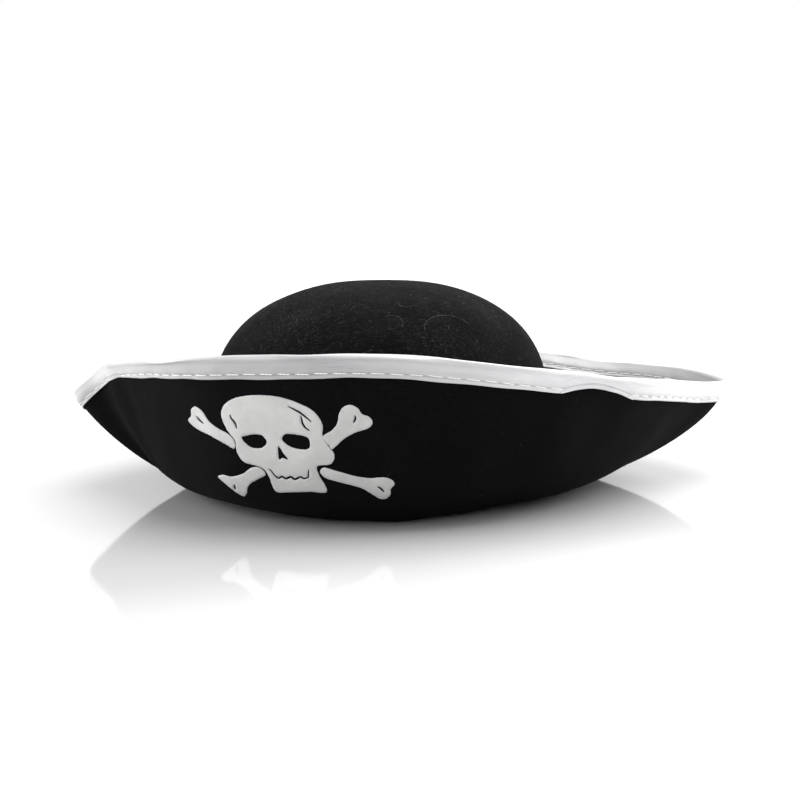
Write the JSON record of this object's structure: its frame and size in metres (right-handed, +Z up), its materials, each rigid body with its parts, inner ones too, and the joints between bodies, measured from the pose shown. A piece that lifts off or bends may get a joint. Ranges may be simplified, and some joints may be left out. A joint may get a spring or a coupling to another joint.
{
  "type": "felt pirate hat",
  "caption": "Black felt tricorne pirate hat: blocked crown and turned-up brim, folded satin edge ribbon with stitching, and a printed skull and crossbones.",
  "frame": {"origin": "on the floor, under the middle of the hat's outline seen from above", "axes": "+X to the right of someone who looks at the front flap, along the line from tip to tip; +Y from the front flap to the back corner; +Z up through the crown"},
  "size_m": [0.3402, 0.3164, 0.1065],
  "materials": {
    "black_felt": "matt, fuzzy black felt with fine stray fibres",
    "satin_ribbon": "silver-white satin ribbon with a soft sheen",
    "white_thread": "white sewing thread",
    "black_thread": "black sewing thread",
    "black_tape": "ribbed black woven tape",
    "label_satin": "blank white satin label",
    "white_print": "matt off-white plastisol print, slightly grainy from the felt under it"
  },
  "bodies": {
    "root": {"felt_body": "black_felt", "edge_ribbon": "satin_ribbon", "stitch_needle_thread": "white_thread", "stitch_bobbin_thread": "white_thread", "sweatband": "black_tape", "sweatband_thread": "black_thread", "care_label": "label_satin", "print_skull": "white_print", "print_bone_upper_left": "white_print", "print_bone_upper_right": "white_print", "print_bone_lower_left": "white_print", "print_bone_lower_right": "white_print"}
  },
  "joints": []
}
